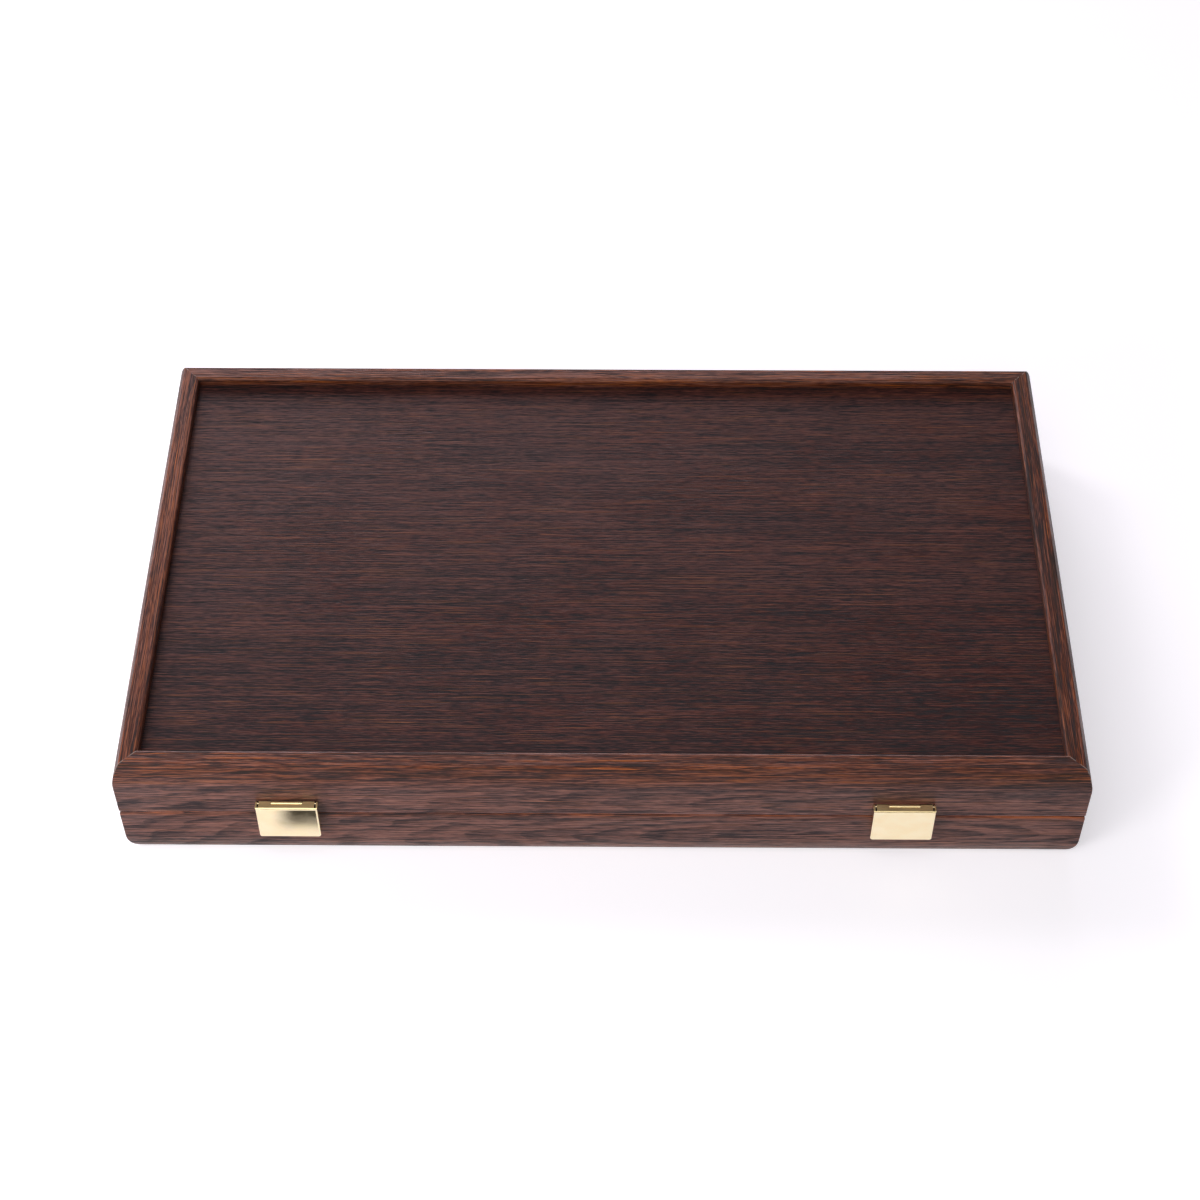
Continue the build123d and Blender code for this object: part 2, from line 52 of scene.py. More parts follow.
class Graph:
    """Short ways to add nodes to a node tree. Most methods return an output socket."""

    def __init__(self, tree):
        self.tree = tree

    def feed(self, socket, value):
        """Links a socket to this one, or sets this one to a constant."""
        if isinstance(value, bpy.types.NodeSocket):
            self.tree.links.new(value, socket)
        elif socket.type == "RGBA" and len(value) == 3:
            socket.default_value = (*value, 1.0)
        else:
            socket.default_value = value

    def node(self, kind, inputs=(), out=0, **settings):
        made = self.tree.nodes.new("ShaderNode" + kind)
        for setting, value in settings.items():
            setattr(made, setting, value)
        for key, value in dict(inputs).items():
            self.feed(made.inputs[key], value)
        return made.outputs[out]

    def math(self, operation, a, b=0.0):
        return self.node("Math", {0: a, 1: b}, operation=operation)

    def scaled(self, vector, factors):
        return self.node("VectorMath", {0: vector, 1: factors}, operation="MULTIPLY")

    def moved(self, vector, by):
        return self.node("VectorMath", {0: vector, 1: by}, operation="ADD")

    def noise(self, place, size, detail=2.0, rough=0.5, colour=False):
        """Noise about 0.5, with features of this size in millimetres along, across and through."""
        fine = self.scaled(place, tuple(1 / s for s in size))
        inputs = {"Vector": fine, "Scale": 1.0, "Detail": detail, "Roughness": rough}
        return self.node("TexNoise", inputs, out="Color" if colour else "Fac")

    def step(self, value, low, high, start=0.0, end=1.0):
        """A smooth step from start to end while the value goes from low to high."""
        inputs = {"Value": value, "From Min": low, "From Max": high, "To Min": start, "To Max": end}
        return self.node("MapRange", inputs, interpolation_type="SMOOTHSTEP")

    def mix(self, factor, a, b, mode="MIX"):
        """Mixes two colours."""
        made = self.tree.nodes.new("ShaderNodeMix")
        made.data_type = "RGBA"
        made.blend_type = mode
        for index, value in {0: factor, 6: a, 7: b}.items():
            self.feed(made.inputs[index], value)
        return made.outputs[2]

    def ramp(self, value, colours):
        """Runs evenly through these colours while the value goes from 0 to 1."""
        made = self.tree.nodes.new("ShaderNodeValToRGB")
        self.feed(made.inputs[0], value)
        stops = made.color_ramp.elements
        for index, colour in enumerate(colours):
            place = index / (len(colours) - 1)
            stop = stops.new(place) if 0 < place < 1 else stops[-1 if place else 0]
            stop.color = (*colour, 1.0)
        return made.outputs[0]

    def axes(self, vector):
        split = self.tree.nodes.new("ShaderNodeSeparateXYZ")
        self.feed(split.inputs[0], vector)
        return split.outputs

    def place(self):
        """The node's own coordinates in millimetres."""
        own = self.node("TexCoord", out="Object")
        return self.scaled(own, (TO_MM,) * 3)

    def seen_directly(self):
        """1 for rays that show the surroundings: from the camera, in a reflection or through glass."""
        seen = self.node("LightPath", out="Is Camera Ray")
        for kind in ("Is Glossy Ray", "Is Transmission Ray"):
            seen = self.math("MAXIMUM", seen, self.node("LightPath", out=kind))
        return seen


class Material(Graph):
    """A node material. Constants of its shader are given by name, with underscores for spaces."""

    def __init__(self, name, **shader_values):
        self.material = bpy.data.materials.new(name)
        self.material.use_nodes = True
        super().__init__(self.material.node_tree)
        self.shader = self.tree.nodes["Principled BSDF"]
        for socket, value in shader_values.items():
            self.feed(self.shader.inputs[socket.replace("_", " ")], value)

    def bump(self, height, depth, strength=1.0):
        """Raises the surface by up to this depth in millimetres."""
        inputs = {"Height": height, "Distance": depth / TO_MM, "Strength": strength}
        self.feed(self.shader.inputs["Normal"], self.node("Bump", inputs))

    def finish(self, colour, roughness):
        self.feed(self.shader.inputs["Base Color"], colour)
        self.feed(self.shader.inputs["Roughness"], roughness)
        return self.material


# Wood

# Spans over which wood stays alike, in millimetres along, across and through the grain
DRIFT_SPAN = (170, 30, 30)
RING_SPAN = (95, 17, 17)
CLOUD_SPAN = (60, 10, 10)
PATCH_SPAN = (190, 13, 13)
# How far a growth ring wanders, as a share of the ring spacing
RING_WANDER = 2.2
# Blender's wave texture repeats after this length at scale 1
WAVE_PERIOD = 2 * math.pi / 20


def grain_place(g, along, shift, sway):
    """Millimetre coordinates with X along the grain, which sways a little as fibres do."""
    own = g.node("TexCoord", out="Object")
    turn = -math.pi / 2 if along == "Y" else 0.0
    inputs = {"Vector": own, "Scale": (TO_MM,) * 3, "Rotation": (0, 0, turn), "Location": shift}
    straight = g.node("Mapping", inputs)
    drift = g.noise(straight, DRIFT_SPAN, detail=3, colour=True)
    offset = g.scaled(g.moved(drift, (-0.5,) * 3), (0, 2 * sway, 2 * sway))
    return g.moved(straight, offset)


def growth_rings(g, place, from_pith, tilt, spacing):
    """Saw from 0 to 1 across each growth ring. The pith leans, so a long face shows them as flames."""
    tree = g.node("Mapping", {"Vector": g.moved(place, from_pith), "Rotation": (0, tilt / 4, tilt)})
    uneven = g.noise(place, RING_SPAN, detail=3, colour=True)
    wander = RING_WANDER * spacing
    tree = g.moved(tree, g.scaled(g.moved(uneven, (-0.5,) * 3), (0, wander, wander)))
    return g.node(
        "TexWave",
        {"Vector": tree, "Scale": WAVE_PERIOD / spacing},
        out="Fac",
        wave_type="RINGS",
        rings_direction="X",
        wave_profile="SAW",
    )


# Colours of each wood from its open pores to its palest wood, then its brightest threads
RAIL_TONES = (
    (0.0180, 0.0090, 0.0100),
    (0.0540, 0.0172, 0.0130),
    (0.0940, 0.0270, 0.0165),
    (0.1400, 0.0460, 0.0290),
    (0.2400, 0.0940, 0.0660),
    (0.3500, 0.1080, 0.0280),
)
PANEL_TONES = (
    (0.0045, 0.0035, 0.0046),
    (0.0155, 0.0052, 0.0052),
    (0.0340, 0.0096, 0.0080),
    (0.0580, 0.0172, 0.0130),
    (0.0930, 0.0300, 0.0210),
    (0.2400, 0.0780, 0.0220),
)
FILLER = (0.36, 0.29, 0.25)
FILLER_STRENGTH = 0.55
# Where the filler fades out and is full, in millimetres from the mitre
FILLER_REACH = (0.42, 0.16)
# How far each band of painted edge light reaches, from where it fades out to where it is full, in
# millimetres:
# across and down from the rim's sharp edge, in from the rounded top and bottom, and down from the seam
RIM_ACROSS = (1.5, 0.4)
RIM_DOWN = (1.8, 0.9)
ROUND_REACH = (14.0, 5.0)
SEAM_DOWN = (4.2, 2.0)
# Height of the painted pale reflection on the lid's lower edge along the seam
SEAM_LINE = 1.8
# Spans of the painted flashes of highlight on the rounded edges and of the noise breaking up all
# painted edge light, as the spans above
FLASH_SPAN = (150, 1.3, 1.3)
EDGE_LIGHT_BREAKUP_SPAN = (30, 1.6, 1.6)


class Grain(NamedTuple):
    """How the streaks of a wood look."""

    width: float  # of a streak, in millimetres
    length: float  # of a streak, as a multiple of the rails'
    contrast: float  # how far the streaks swing through the tones
    shares: tuple = (0.50, 0.60, 0.50)  # of the short, middling and long streaks
    patchy: float = 0.528  # how far broad patches swing through the tones
    veins: float = 0.0  # how dark the thin lines between the streaks are


RAIL_GRAIN = Grain(0.46, 1.00, 5.50, (0.40, 0.52, 0.62), 1.320, 0.16)
PANEL_GRAIN = Grain(0.50, 0.85, 4.40, (0.54, 0.54, 0.56), 0.484)
INLAY_GRAIN = Grain(0.80, 1.00, 1.76)
TURNED_GRAIN = Grain(0.70, 0.80, 1.76)
# Level in the tones of wood without bands, and how far a full band lowers it
MEAN_LEVEL = 0.52
BAND_DEPTH = 0.42


def wood(g, place, tones, grain, bands):
    """Colour, height and pores of open-grained wood, given how strong its dark bands are.

    Short, middling and long streaks and broad patches add up to a level, which runs through the tones.
    Thin dark veins and fine bright threads lie among them.
    """
    width, length = grain.width, grain.length
    slit = g.noise(place, (6 * length, 0.70 * width, 0.70 * width), detail=1)
    fibre = g.noise(place, (17 * length, 0.80 * width, 0.80 * width), detail=2)
    thread = g.noise(place, (90, 0.90 * width, 0.90 * width), detail=2)
    patch = g.noise(place, PATCH_SPAN, detail=2)
    swings = [grain.contrast * share for share in grain.shares] + [grain.patchy]
    level = g.math("SUBTRACT", MEAN_LEVEL, g.math("MULTIPLY", bands, BAND_DEPTH))
    for streaks, swing in zip((slit, fibre, thread, patch), swings):
        level = g.math("ADD", level, g.math("MULTIPLY", g.math("SUBTRACT", streaks, 0.5), swing))
    if grain.veins:
        # Thin dark lines where a long, narrow noise passes its middle
        swell = g.noise(place, (130, 2.0 * width, 2.0 * width), detail=2)
        near = g.math("ABSOLUTE", g.math("SUBTRACT", swell, 0.5))
        level = g.math("SUBTRACT", level, g.step(near, 0.030, 0.004, 0.0, grain.veins))
    colour = g.ramp(level, tones[:-1])
    bright = g.noise(place, (52 * length, 0.60 * width, 0.60 * width), detail=1)
    lines = g.math("MULTIPLY", g.step(bright, 0.63, 0.73), g.step(patch, 0.35, 0.60, 0.25, 0.75))
    colour = g.mix(lines, colour, tones[-1])
    pores = g.step(level, 0.26, 0.06)
    return colour, level, pores


def mitre_line(g):
    """1 on the thin, broken line of filler where two rails meet."""
    x, y, _ = g.axes(g.place())
    apart = g.math("SUBTRACT", g.math("ABSOLUTE", x), g.math("ABSOLUTE", y))
    distance = g.math("ABSOLUTE", g.math("SUBTRACT", apart, mitre_offset))
    broken = g.step(g.noise(g.place(), (3.2, 3.2, 3.2), detail=2), 0.42, 0.56)
    return g.math("MULTIPLY", g.step(distance, *FILLER_REACH), broken)


def painted_edge_light(g, place, along):
    """Masks of painted highlights, painted reflections and painted deeper colour along the case's
    edges, each with its tint.
    """
    x, y, z = g.axes(g.place())
    across, half = (y, case_half_depth) if along == "X" else (x, case_half_length)
    inset = g.math("SUBTRACT", half, g.math("ABSOLUTE", across))
    under_seam = g.math("SUBTRACT", seam_height, z)
    from_face = g.math("SUBTRACT", seam_height, g.math("ABSOLUTE", under_seam))
    rim = g.step(g.math("ABSOLUTE", g.math("SUBTRACT", inset, EDGE_INSET)), *RIM_ACROSS)
    rim = g.math("MULTIPLY", rim, g.step(from_face, *RIM_DOWN))
    rounded = g.step(from_face, *ROUND_REACH)
    flash = g.step(g.noise(place, FLASH_SPAN, detail=2), 0.56, 0.66)
    from_line = g.math("ABSOLUTE", g.math("ADD", under_seam, SEAM_LINE / 2))
    line = g.math("LESS_THAN", from_line, SEAM_LINE / 2)
    strip = g.math("MULTIPLY", g.step(under_seam, *SEAM_DOWN), g.math("GREATER_THAN", under_seam, 0.0))
    return (
        # painted highlight along the sharp top edge of the rim
        (rim, (1.315, 1.270, 1.225)),
        # painted deeper, more saturated colour on the rounded top and bottom, for the dark reflections
        # there
        (rounded, (0.92, 0.68, 0.34)),
        # painted flashes of highlight along the rounded edges
        (g.math("MULTIPLY", rounded, flash), (1.60, 1.42, 0.42)),
        # painted pale, bluish reflection of the floor on the lid's lower edge at the seam
        (line, (1.70, 2.10, 2.60)),
        # painted warm strip under the seam, for the missing reflected haze there
        (strip, (1.30, 0.92, 0.42)),
    )


class Cut(NamedTuple):
    """How a rail is sawn from its tree, in millimetres."""

    along: str  # axis of the case that the grain follows
    shift: tuple  # moves the streaks, so that no two rails share them
    pith: tuple  # from the tree's pith to the case's origin: along and across the grain, and up
    tilt: float  # lean of the pith, in radians
    spacing: float  # of the growth rings
    flame: float  # how dark the late wood of the rings is
    pale: float = 0.0  # how much paler than its kind the wood is


RAILS = {
    "lid_front_rail": Cut("X", (40, 0, 0), (0, 122, -42), 0.080, 3.2, 0.80),
    "lid_back_rail": Cut("X", (310, 25, 10), (0, -118, -44), 0.060, 3.4, 0.60, 0.26),
    "lid_left_rail": Cut("Y", (90, 60, 0), (0, -215, -40), 0.050, 3.6, 0.70),
    "lid_right_rail": Cut("Y", (520, 80, 20), (0, 215, -44), 0.060, 3.4, 1.10),
    "base_front_rail": Cut("X", (700, 10, 40), (0, 127, -17), 0.110, 3.6, 1.15, 0.24),
    "base_back_rail": Cut("X", (150, 45, 60), (0, -124, -18), 0.090, 3.4, 1.00),
    "base_left_rail": Cut("Y", (830, 20, 30), (0, -222, -20), 0.080, 3.4, 1.00),
    "base_right_rail": Cut("Y", (260, 35, 70), (0, 222, -16), 0.090, 3.2, 1.00),
}
RACK_CUT = Cut("X", (15, 5, 90), (0, 60, -60), 0.012, 3.6, 0.5)
STOP_CUT = Cut("Y", (65, 5, 90), (0, 60, -60), 0.012, 3.6, 0.5)


def rail_material(name, cut, outer=True):
    """Solid lacquered wood. The case's outer rails have painted highlights, painted reflections and
    painted deeper colour along their edges, and filled mitres.
    """
    g = Material(name, IOR=1.41)
    place = grain_place(g, cut.along, cut.shift, sway=1.6)
    ring = growth_rings(g, place, Vector(cut.pith) - Vector(cut.shift), cut.tilt, cut.spacing)
    late = g.math("MULTIPLY", g.step(ring, 0.30, 0.86), g.step(ring, 1.0, 0.93))
    cloud = g.step(g.noise(place, CLOUD_SPAN, detail=3), 0.24, 0.46)
    dark = g.math("MULTIPLY", g.math("MULTIPLY", late, cloud), cut.flame)
    bands = g.math("SUBTRACT", dark, cut.pale)
    colour, height, pores = wood(g, place, RAIL_TONES, RAIL_GRAIN, bands)
    if outer:
        # Painted highlights, reflections and deeper colour along the edges, broken up by noise
        uneven = g.step(g.noise(place, EDGE_LIGHT_BREAKUP_SPAN, detail=3), 0.38, 0.58, 0.35, 1.0)
        for painted_mask, tint in painted_edge_light(g, place, cut.along):
            part = g.math("MULTIPLY", painted_mask, uneven)
            colour = g.mix(part, colour, g.mix(1.0, colour, tint, "MULTIPLY"))
        colour = g.mix(g.math("MULTIPLY", mitre_line(g), FILLER_STRENGTH), colour, FILLER)
    g.bump(height, 0.05, 0.7)
    worn = g.noise(place, (40, 12, 12), detail=3)
    sheen = g.math("ADD", g.step(worn, 0.3, 0.7, 0.36, 0.46), g.math("MULTIPLY", pores, 0.30))
    return g.finish(colour, sheen)


# Where the painted shade on the panels starts towards the front and where it is darkest, on the case's
# Y
PANEL_PAINTED_SHADE = (20.0, -110.0)


def panel_material(name, shift):
    """Quarter-cut veneer with fine straight dark and reddish lines, and painted shade darkening it
    towards the front.
    """
    g = Material(name, IOR=1.38)
    place = grain_place(g, "X", shift, sway=0.9)
    stripe = g.noise(place, (320, 5.5, 5.5), detail=3)
    _, y, _ = g.axes(g.place())
    # The second term is painted shade, darkening the panel towards the front
    bands = g.math("ADD", g.step(stripe, 0.46, 0.70, 0.0, 0.25), g.step(y, *PANEL_PAINTED_SHADE, 0.0, 0.40))
    colour, height, pores = wood(g, place, PANEL_TONES, PANEL_GRAIN, bands)
    g.bump(height, 0.035, 0.6)
    worn = g.noise(place, (60, 25, 25), detail=3)
    sheen = g.math("ADD", g.step(worn, 0.3, 0.7, 0.33, 0.41), g.math("MULTIPLY", pores, 0.35))
    return g.finish(colour, sheen)


def inlay_material(name, tones, shift):
    """Closer-grained wood of the inlaid points."""
    g = Material(name, IOR=1.5, Coat_Weight=0.15, Coat_Roughness=0.25)
    place = grain_place(g, "X", shift, sway=1.2)
    stripe = g.noise(place, (160, 4.5, 4.5), detail=3)
    bands = g.step(stripe, 0.45, 0.70, 0.0, 0.5)
    colour, height, pores = wood(g, place, tones, INLAY_GRAIN, bands)
    g.bump(height, 0.03, 0.5)
    sheen = g.math("ADD", g.step(stripe, 0.3, 0.7, 0.34, 0.42), g.math("MULTIPLY", pores, 0.12))
    return g.finish(colour, sheen)


# These woods have no bright threads, so their last two tones are alike
LIGHT_INLAY = (
    (0.25, 0.130, 0.055),
    (0.33, 0.185, 0.085),
    (0.49, 0.305, 0.150),
    (0.62, 0.42, 0.225),
    (0.60, 0.36, 0.150),
    (0.60, 0.36, 0.150),
)
DARK_INLAY = (
    (0.040, 0.013, 0.007),
    (0.085, 0.026, 0.012),
    (0.165, 0.050, 0.021),
    (0.235, 0.080, 0.033),
    (0.310, 0.110, 0.040),
    (0.310, 0.110, 0.040),
)
LIGHT_TURNED = (
    (0.34, 0.190, 0.085),
    (0.42, 0.255, 0.120),
    (0.58, 0.390, 0.205),
    (0.68, 0.490, 0.285),
    (0.66, 0.430, 0.200),
    (0.66, 0.430, 0.200),
)
DARK_TURNED = (
    (0.010, 0.0050, 0.0040),
    (0.024, 0.0085, 0.0052),
    (0.052, 0.0170, 0.0092),
    (0.085, 0.0290, 0.0150),
    (0.120, 0.0400, 0.0190),
    (0.120, 0.0400, 0.0190),
)


# Thickness of one ply, and how fast the lathe's rings follow each other, in radians per millimetre
PLY = 0.5
LATHE_RINGS = 9.0


def ply_material(name):
    """Birch ply core, which shows only at its edges."""
    g = Material(name, IOR=1.45)
    _, _, height_mm = g.axes(g.place())
    ply = g.step(g.math("PINGPONG", height_mm, PLY), 0.20, 0.30)
    colour = g.mix(ply, (0.42, 0.27, 0.15), (0.60, 0.44, 0.27))
    grain = g.noise(g.place(), (40, 1.5, 1.5), detail=4)
    colour = g.mix(0.5, colour, grain, "OVERLAY")
    g.bump(grain, 0.05)
    return g.finish(colour, g.step(grain, 0.3, 0.7, 0.6, 0.75))


def turned_material(name, tones, axle):
    """Turned and polished wood of the checkers, with the faint rings of the lathe about their axle."""
    g = Material(name, IOR=1.5, Coat_Weight=0.35, Coat_Roughness=0.14)
    place = grain_place(g, "Y", (0, 0, 0), sway=1.0)
    stripe = g.noise(place, (60, 3.2, 3.2), detail=3)
    bands = g.step(stripe, 0.45, 0.70, 0.0, 0.55)
    colour, height, pores = wood(g, place, tones, TURNED_GRAIN, bands)
    _, y, z = g.axes(g.moved(g.place(), (0, -axle.y, -axle.z)))
    radius = g.math("SQRT", g.math("ADD", g.math("POWER", y, 2.0), g.math("POWER", z, 2.0)))
    lathe = g.math("SINE", g.math("MULTIPLY", radius, LATHE_RINGS))
    colour = g.mix(g.step(lathe, 0.2, 1.0, 0.0, 0.10), colour, tones[1])
    g.bump(g.math("ADD", g.math("MULTIPLY", lathe, 0.25), height), 0.02, 0.5)
    sheen = g.math("ADD", g.step(stripe, 0.3, 0.7, 0.22, 0.32), g.math("MULTIPLY", pores, 0.1))
    return g.finish(colour, sheen)


# Metal and plastic

# Heights between which the latches' polished faces turn into their matt, grained top flange
FLANGE_START = (45.2, 45.9)


def polished_brass(name):
    """Pale gold plate: fine lengthways polishing lines, faint cloudiness and small scratches."""
    g = Material(name, Metallic=1.0)
    place = g.place()
    lines = g.noise(place, (22, 0.11, 0.11), detail=4, rough=0.6)
    cloud = g.noise(place, (9, 7, 7), detail=3)
    scratch = g.step(g.noise(place, (5.0, 0.09, 3.0), detail=1), 0.70, 0.76)
    colour = g.mix(g.step(cloud, 0.30, 0.72), (0.95, 0.81, 0.52), (0.99, 0.86, 0.59))
    _, _, own_height = g.axes(place)
    matt = g.step(own_height, *FLANGE_START)
    colour = g.mix(matt, colour, (0.98, 0.80, 0.42))
    grain = g.noise(place, (0.5, 0.5, 0.5), detail=2)
    grained = g.math("MULTIPLY", g.math("MULTIPLY", grain, matt), 12.0)
    relief = g.math("ADD", g.math("MULTIPLY", lines, 0.5), grained)
    g.bump(g.math("SUBTRACT", relief, scratch), 0.004, 0.5)
    sheen = g.math("ADD", g.step(cloud, 0.3, 0.7, 0.11, 0.19), g.math("MULTIPLY", matt, 0.30))
    return g.finish(colour, sheen)


def brushed_brass(name):
    """Deeper brass of the hinges, screws and strikes, brushed and a little tarnished."""
    g = Material(name, Metallic=1.0)
    place = g.place()
    lines = g.noise(place, (12, 0.16, 0.16), detail=4, rough=0.65)
    tarnish = g.noise(place, (4.5, 4.5, 4.5), detail=4)
    colour = g.mix(g.step(tarnish, 0.40, 0.72, 0.0, 0.8), (0.74, 0.52, 0.22), (0.42, 0.27, 0.11))
    colour = g.mix(g.step(lines, 0.35, 0.70, 0.0, 0.25), colour, (0.86, 0.67, 0.34))
    g.bump(lines, 0.012, 0.6)
    return g.finish(colour, g.step(tarnish, 0.3, 0.7, 0.24, 0.42))


def spring_steel(name):
    """Bright rolled strip with lengthways lines and a warm tint from hardening."""
    g = Material(name, Metallic=1.0)
    place = g.place()
    lines = g.noise(place, (0.16, 0.16, 14), detail=4, rough=0.6)
    tint = g.noise(place, (5, 5, 5), detail=2)
    colour = g.mix(g.step(tint, 0.35, 0.70), (0.56, 0.56, 0.58), (0.50, 0.43, 0.36))
    colour = g.mix(g.step(lines, 0.4, 0.7, 0.0, 0.3), colour, (0.70, 0.70, 0.71))
    g.bump(lines, 0.006, 0.5)
    return g.finish(colour, g.step(lines, 0.3, 0.7, 0.22, 0.34))


def dice_material(name):
    """Cast ivory-coloured resin, faintly clouded, with a few handling marks."""
    g = Material(name, IOR=1.49, Coat_Weight=0.4, Coat_Roughness=0.08)
    cloud = g.noise(g.place(), (7, 7, 7), detail=4)
    marks = g.step(g.noise(g.place(), (2.5, 0.3, 1.8), detail=2), 0.66, 0.74)
    colour = g.mix(g.step(cloud, 0.3, 0.7), (0.80, 0.745, 0.63), (0.86, 0.82, 0.72))
    colour = g.mix(g.math("MULTIPLY", marks, 0.15), colour, (0.60, 0.52, 0.40))
    g.bump(g.math("SUBTRACT", g.math("MULTIPLY", cloud, 0.4), marks), 0.01, 0.4)
    return g.finish(colour, g.step(cloud, 0.3, 0.7, 0.20, 0.30))


def enamel_material(name):
    """Black enamel in the pips, slightly uneven where it set."""
    g = Material(name, IOR=1.52)
    ripple = g.noise(g.place(), (0.9, 0.9, 0.9), detail=2)
    colour = g.mix(ripple, (0.008, 0.008, 0.010), (0.022, 0.021, 0.024))
    g.bump(ripple, 0.03, 0.5)
    return g.finish(colour, g.step(ripple, 0.3, 0.7, 0.16, 0.30))


# Every node gets its material


def dress(material, *names):
    """Gives a material to CAD nodes. A name may end in a star, for all nodes that begin so."""
    for name in names:
        matching = [n for n in nodes if n == name or (name[-1] == "*" and n.startswith(name[:-1]))]
        if not matching:
            raise ValueError(f"no node is named {name}")
        for match in matching:
            slots = nodes[match].data.materials
            slots.clear()
            slots.append(material)


for rail, cut in RAILS.items():
    dress(rail_material(rail + "_wood", cut), rail)
for index, tray in enumerate(("base", "lid")):
    shift = (400.0 * index, 70.0 * index, 20.0 * index)
    dress(panel_material(f"{tray}_panel_veneer", shift), f"{tray}_outer_veneer")
    dress(panel_material(f"{tray}_field", (*shift[:2], 55.0)), f"{tray}_field_veneer")
    dress(inlay_material(f"{tray}_light_inlay", LIGHT_INLAY, shift), f"{tray}_light_points")
    dress(inlay_material(f"{tray}_dark_inlay", DARK_INLAY, shift), f"{tray}_dark_points")
dress(rail_material("rack_wood", RACK_CUT, outer=False), "base_rack_rail", "lid_rack_rail")
dress(rail_material("stop_wood", STOP_CUT, outer=False), "base_rack_stop*", "lid_rack_stop*")
dress(ply_material("birch_ply"), "base_panel", "lid_panel")
dress(turned_material("light_turned", LIGHT_TURNED, middle_of("light_checkers")), "light_checkers")
dress(turned_material("dark_turned", DARK_TURNED, middle_of("dark_checkers")), "dark_checkers")
dress(dice_material("ivory_resin"), "dice")
dress(enamel_material("black_enamel"), "dice_pips")
gold = polished_brass("polished_brass")
dress(gold, "left_latch_cover", "right_latch_cover", "left_latch_plate", "right_latch_plate")
dress(gold, "left_latch_pin", "right_latch_pin")
hinge_brass = brushed_brass("brushed_brass")
dress(hinge_brass, "left_hinge*", "right_hinge*", "base_hinge_screws", "lid_hinge_screws")
dress(hinge_brass, "left_latch_strike", "right_latch_strike", "latch_plate_screws", "strike_screws")
dress(spring_steel("spring_steel"), "left_latch_tongue", "right_latch_tongue")

# Studio, in metres

FLOOR_SPAN = 12.0
# The paper's own brightness near the board, and the millimetres over which it rises to white far away
FLOOR_LIFT = 0.46
FLOOR_FADE = (900.0, 2800.0)
PAPER_TONES = ((0.80, 0.78, 0.815), (0.82, 0.80, 0.835))
CARD_TONES = ((0.045, 0.042, 0.040), (0.055, 0.052, 0.050))
CARD_PLACE = (-0.1480, -0.1790, 0.0005)
CARD_SIZE = (0.046, 0.030)
WORLD_BASE = 0.08
WORLD_TINT = (1.0, 0.94, 1.03)
WHITE = (1.0, 1.0, 1.0)
# How high over the horizon reflections still show the white backdrop: where it fades out and is full
BACKDROP_TOP = (0.16, 0.04)
# Soft bright parts of the studio: where each is, how near it starts, and how much it adds
WORLD_GLOWS = {
    "window": ((-0.27, 0.96, 0.0), 0.74, 7.0),
    "ceiling": ((0.0, -0.35, 0.94), 0.60, 0.2),
}


def make_floor():
    """White paper that keeps the soft shadow and shows as white where nothing shades it."""
    bpy.ops.mesh.primitive_plane_add(size=FLOOR_SPAN)
    floor = bpy.context.object
    floor.name = "studio_floor"
    g = Material("white_paper", IOR=1.3, Specular_IOR_Level=0.1, Emission_Color=(0.985, 0.98, 1.0))
    x, y, _ = g.axes(g.place())
    away = g.math("SQRT", g.math("ADD", g.math("POWER", x, 2.0), g.math("POWER", y, 2.0)))
    lift = g.step(away, *FLOOR_FADE, FLOOR_LIFT, 1.0)
    g.feed(g.shader.inputs["Emission Strength"], g.math("MULTIPLY", g.seen_directly(), lift))
    fibre = g.noise(g.place(), (3, 3, 3), detail=4)
    colour = g.mix(fibre, *PAPER_TONES)
    floor.data.materials.append(g.finish(colour, g.step(fibre, 0.3, 0.7, 0.8, 0.9)))


def make_card():
    """A small soft-edged dark card on the floor, which only shows mirrored in the left latch."""
    bpy.ops.mesh.primitive_plane_add(size=1.0, location=CARD_PLACE)
    card = bpy.context.object
    card.name = "studio_card"
    card.scale = (*CARD_SIZE, 1.0)
    g = Material("dark_card")
    x, y, _ = g.axes(g.node("TexCoord", out="Object"))
    edges = [g.step(g.math("ABSOLUTE", side), 0.5, 0.22) for side in (x, y)]
    g.feed(g.shader.inputs["Alpha"], g.math("MULTIPLY", *edges))
    soft = g.noise(g.place(), (400, 400, 400), detail=1)
    card.data.materials.append(g.finish(g.mix(soft, *CARD_TONES), 0.9))
    for kind in ("camera", "diffuse", "shadow", "transmission"):
        setattr(card, "visible_" + kind, False)


def make_world():
    """A dim studio with a window at the back left and a pale ceiling, before a white backdrop.

    The camera sees the backdrop everywhere, and reflections see it near the horizon.
    """
    world = bpy.data.worlds.new("studio")
    bpy.context.scene.world = world
    world.use_nodes = True
    g = Graph(world.node_tree)
    way = g.node("TexCoord", out="Generated")
    strength = WORLD_BASE
    for direction, start, power in WORLD_GLOWS.values():
        middle = Vector(direction).normalized()
        nearness = g.node("VectorMath", {0: way, 1: middle}, out="Value", operation="DOT_PRODUCT")
        strength = g.math("ADD", g.step(nearness, start, 1.0, 0.0, power), strength)
    _, _, upwards = g.axes(way)
    low = g.math("MULTIPLY", g.seen_directly(), g.step(upwards, *BACKDROP_TOP))
    backdrop = g.math("MAXIMUM", g.node("LightPath", out="Is Camera Ray"), low)
    strength = g.node("Mix", {"Factor": backdrop, "A": strength, "B": 1.0})
    background = g.tree.nodes["Background"]
    g.feed(background.inputs["Strength"], strength)
    g.feed(background.inputs["Color"], g.mix(backdrop, WORLD_TINT, WHITE))


class Softbox(NamedTuple):
    """A square soft light, in metres and watts."""

    place: tuple
    target: tuple
    size: float
    power: float
    colour: tuple
    mirrored: bool = True  # whether polished things show it


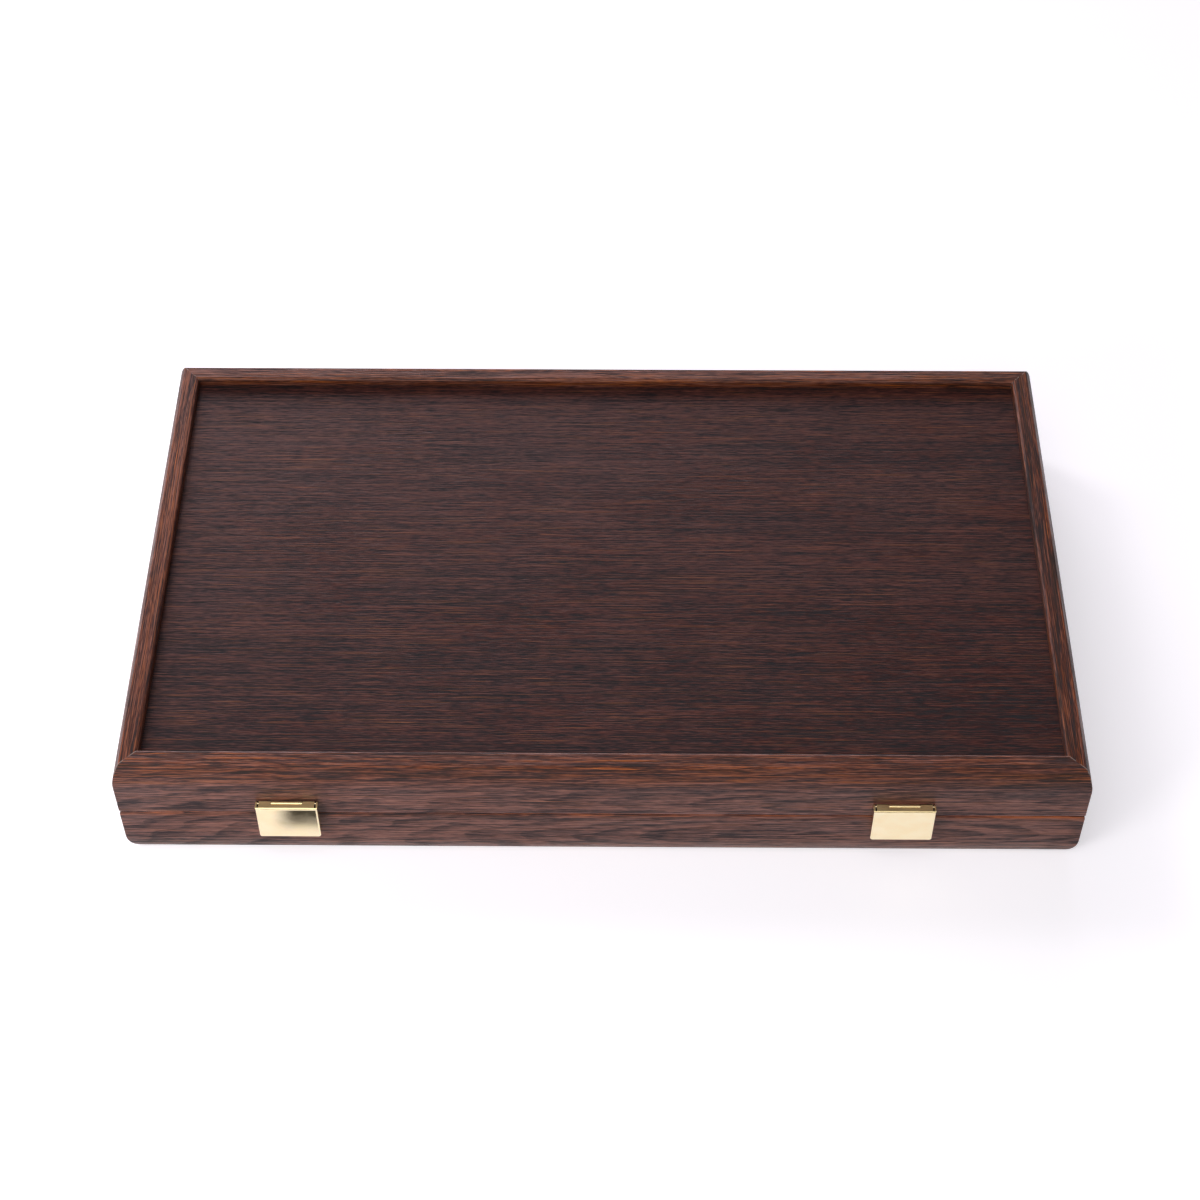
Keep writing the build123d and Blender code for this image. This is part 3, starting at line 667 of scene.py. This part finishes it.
SOFTBOXES = {
    "key_softbox": Softbox(
        (-0.76, 0.74, 1.16), (0.0, 0.0, 0.03), 0.45, 6.4, (1.0, 0.985, 0.99), mirrored=False
    ),
    "front_softbox": Softbox((-0.18, -0.95, 1.60), (0.0, -0.1, 0.03), 1.3, 12.0, (1.0, 0.985, 0.99)),
    "left_softbox": Softbox((-0.66, -0.75, 0.50), (0.0, -0.1, 0.03), 0.4, 4.8, (1.0, 0.985, 0.98)),
}


def make_softbox(name, box):
    data = bpy.data.lights.new(name, "AREA")
    data.shape = "SQUARE"
    data.size = box.size
    data.energy = box.power
    data.color = box.colour
    lamp = bpy.data.objects.new(name, data)
    bpy.context.scene.collection.objects.link(lamp)
    lamp.location = box.place
    aim = Vector(box.target) - Vector(box.place)
    lamp.rotation_euler = aim.to_track_quat("-Z", "Y").to_euler()
    lamp.visible_glossy = box.mirrored


make_floor()
make_card()
make_world()
for name, box in SOFTBOXES.items():
    make_softbox(name, box)

# Camera, fitted to the outline of the case in the photograph, which is 1200 by 1200 pixels
PHOTO_SIDE = 1200
FOCAL_PIXELS = 2361.9
SENSOR_MM = 36.0
CAMERA_PLACE = (0.005479, -0.809556, 1.005229)
PITCH_DOWN, YAW_RIGHT, ROLL = (math.radians(angle) for angle in (50.239, -0.524, -0.121))


def make_camera():
    data = bpy.data.cameras.new("photo_camera")
    data.sensor_width = SENSOR_MM
    data.sensor_fit = "HORIZONTAL"
    data.lens = FOCAL_PIXELS / PHOTO_SIDE * SENSOR_MM
    camera = bpy.data.objects.new("photo_camera", data)
    bpy.context.scene.collection.objects.link(camera)
    level = math.cos(PITCH_DOWN)
    ahead = Vector((math.sin(YAW_RIGHT) * level, math.cos(YAW_RIGHT) * level, -math.sin(PITCH_DOWN)))
    right = Vector((math.cos(YAW_RIGHT), -math.sin(YAW_RIGHT), 0.0))
    up = right.cross(ahead)
    rolled_right = right * math.cos(ROLL) + up * math.sin(ROLL)
    rolled_up = up * math.cos(ROLL) - right * math.sin(ROLL)
    turn = Matrix((rolled_right, rolled_up, -ahead)).transposed().to_4x4()
    camera.matrix_world = Matrix.Translation(CAMERA_PLACE) @ turn
    bpy.context.scene.camera = camera


make_camera()
bpy.context.scene.view_settings.view_transform = "Standard"
